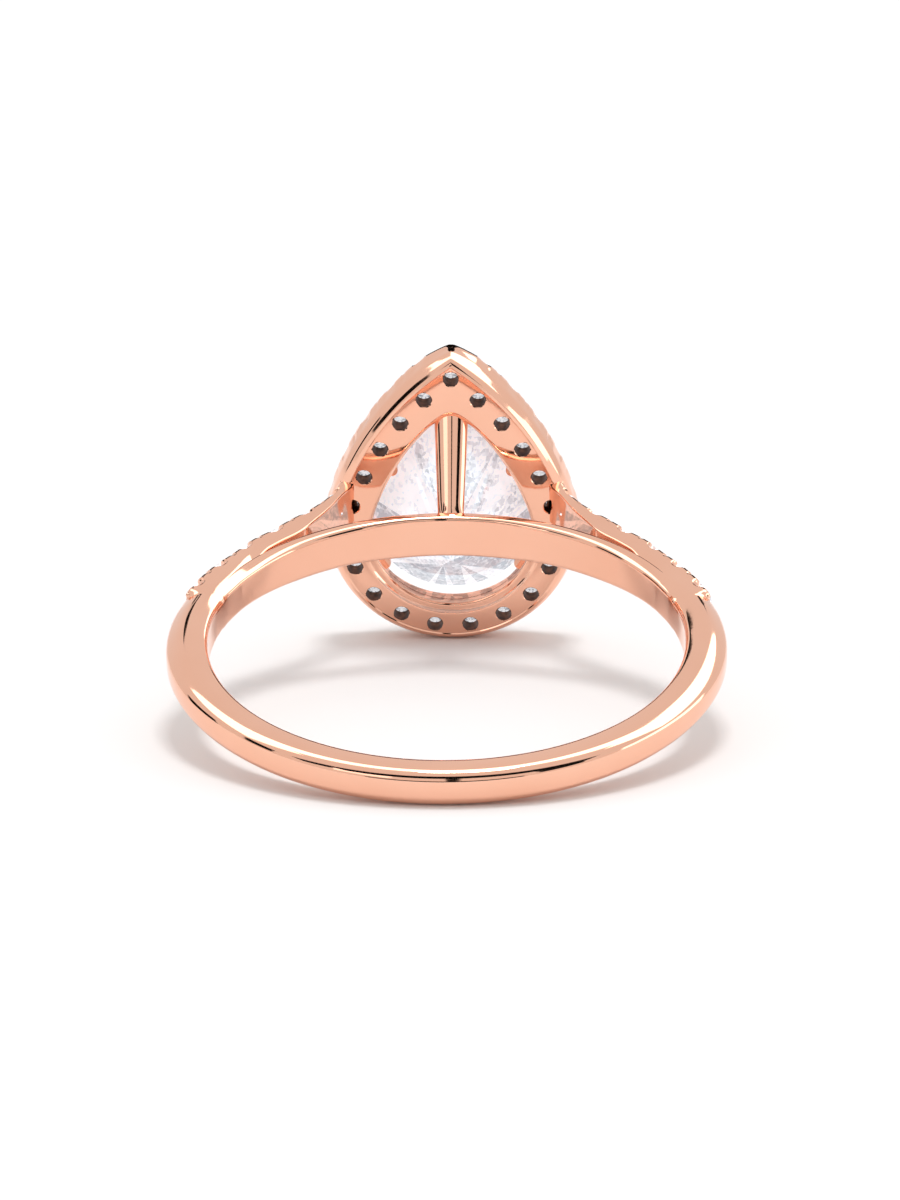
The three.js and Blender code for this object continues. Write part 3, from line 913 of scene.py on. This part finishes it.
def make_camera():
    a, e, r = CAMERA_TURN, CAMERA_RISE, CAMERA_ROLL
    back = Vector((math.sin(a) * math.cos(e), -math.cos(a) * math.cos(e), math.sin(e)))
    right = Vector((math.cos(a), math.sin(a), 0))
    up = Vector((-math.sin(a) * math.sin(e), math.cos(a) * math.sin(e), math.cos(e)))
    rolled_right = right * math.cos(r) - up * math.sin(r)
    rolled_up = right * math.sin(r) + up * math.cos(r)
    place = back * CAMERA_DISTANCE + rolled_up * CAMERA_UP + rolled_right * CAMERA_RIGHT
    data = bpy.data.cameras.new("photo_view")
    data.sensor_width = 36
    data.sensor_height = 36
    data.sensor_fit = "AUTO"
    data.lens = CAMERA_LENS
    data.clip_start = 0.01
    camera = bpy.data.objects.new("photo_view", data)
    axes = Matrix((TURN @ rolled_right, TURN @ rolled_up, TURN @ back)).transposed()
    camera.matrix_world = Matrix.Translation(RING @ place) @ axes.to_4x4()
    bpy.context.scene.collection.objects.link(camera)
    bpy.context.scene.camera = camera


def make_floor():
    mesh = bpy.data.meshes.new("studio_floor")
    reach = 3.0
    corners = [(-reach, -reach, 0), (reach, -reach, 0), (reach, reach, 0), (-reach, reach, 0)]
    mesh.from_pydata(corners, [], [(0, 1, 2, 3)])
    floor = bpy.data.objects.new("studio_floor", mesh)
    bpy.context.scene.collection.objects.link(floor)
    material, tree, shader = new_material("studio_paper")
    where = tree.nodes.new("ShaderNodeTexCoord").outputs["Object"]
    tone = ramp(tree, noise(tree, 12, 2, where), (0.86, 0.86, 0.86), (0.88, 0.88, 0.88))
    tree.links.new(tone, shader.inputs["Base Color"])
    shader.inputs["Roughness"].default_value = 0.9
    shader.inputs["Specular IOR Level"].default_value = 0.1
    mesh.materials.append(material)


def add_light(name, place, aim, width, height, power):
    data = bpy.data.lights.new(name, "AREA")
    data.shape = "RECTANGLE"
    data.size = width
    data.size_y = height
    data.energy = power
    light = bpy.data.objects.new(name, data)
    light.location = place
    light.rotation_euler = (Vector(aim) - Vector(place)).to_track_quat("-Z", "Y").to_euler()
    bpy.context.scene.collection.objects.link(light)


def add_card(name, place, aim, width, height, glow):
    """A card that only reflections see: black at a glow of 0, a lit white panel above it."""
    mesh = bpy.data.meshes.new(name)
    w, h = width / 2, height / 2
    mesh.from_pydata([(-w, -h, 0), (w, -h, 0), (w, h, 0), (-w, h, 0)], [], [(0, 1, 2, 3)])
    card = bpy.data.objects.new(name, mesh)
    card.location = place
    card.rotation_euler = (Vector(aim) - Vector(place)).to_track_quat("-Z", "Y").to_euler()
    bpy.context.scene.collection.objects.link(card)
    material, tree, shader = new_material(name + "_cloth")
    where = tree.nodes.new("ShaderNodeTexCoord").outputs["Object"]
    tone = ramp(tree, noise(tree, 40, 2, where), (0.004, 0.004, 0.004), (0.008, 0.008, 0.008))
    tree.links.new(tone, shader.inputs["Base Color"])
    shader.inputs["Specular IOR Level"].default_value = 0.0
    shader.inputs["Emission Color"].default_value = (1, 1, 1, 1)
    shader.inputs["Emission Strength"].default_value = glow
    mesh.materials.append(material)
    card.visible_camera = False
    card.visible_diffuse = False
    card.visible_shadow = False


def toward(azimuth, elevation, distance):
    """A place seen from the ring: azimuth 0 is behind its head, 180 is the camera's side."""
    a, e = math.radians(azimuth), math.radians(elevation)
    level = distance * math.cos(e)
    return (level * math.sin(a), level * math.cos(a), distance * math.sin(e))


# Cards round the ring: azimuth, elevation (degrees), distance, width, height (metres), glow.
# The panels give the polished gold its white streaks and the flags its black lines.
CARDS = (
    ("overhead_panel", 0, 80, 0.62, 0.8, 0.28, 2.8),
    ("right_panel", 58, 45, 0.6, 0.62, 0.36, 2.8),
    ("left_panel", -76, 48, 0.6, 0.36, 0.3, 2.6),
    ("right_low_panel", 85, 8, 0.6, 0.5, 0.18, 2.4),
    ("left_low_flag", -72, 6, 0.6, 0.2, 0.2, 0.0),
    ("front_left_panel", 212, 27, 0.5, 0.18, 0.14, 1.7),
    ("front_right_flag", 135, 25, 0.42, 0.13, 0.16, 0.0),
    ("side_left_flag", -104, 17, 0.42, 0.1, 0.14, 0.0),
    ("back_left_flag", -15, 38, 0.7, 0.08, 0.1, 0.0),
    ("low_front_flag", 180, 5, 0.6, 0.7, 0.1, 0.0),
    ("low_back_flag", 0, 18, 0.7, 0.4, 0.34, 0.0),
    ("front_flag", 180, 44, 0.42, 1.0, 0.12, 0.0),
    ("stand_flag", 177, 24, 0.42, 0.035, 0.3, 0.0),
)


def make_studio():
    make_floor()
    world = bpy.data.worlds.new("studio")
    bpy.context.scene.world = world
    world.use_nodes = True
    world.node_tree.nodes["Background"].inputs["Color"].default_value = (0.84, 0.84, 0.84, 1)
    world.node_tree.nodes["Background"].inputs["Strength"].default_value = 1.0
    middle = (0, 0, 0.004)
    add_light("top_softbox", (0.03, 0.0, 0.6), middle, 0.18, 0.15, 1.35)
    for name, azimuth, elevation, distance, width, height, glow in CARDS:
        add_card(name, toward(azimuth, elevation, distance), middle, width, height, glow)
    scene = bpy.context.scene
    scene.view_settings.view_transform = "Standard"
    scene.view_settings.look = "None"


make_camera()
make_band()
make_rail()
make_halo()
make_strut()
make_claws()
make_halo_beads()
make_shoulder_beads(-1)
make_shoulder_beads(1)
make_stones()
make_studio()
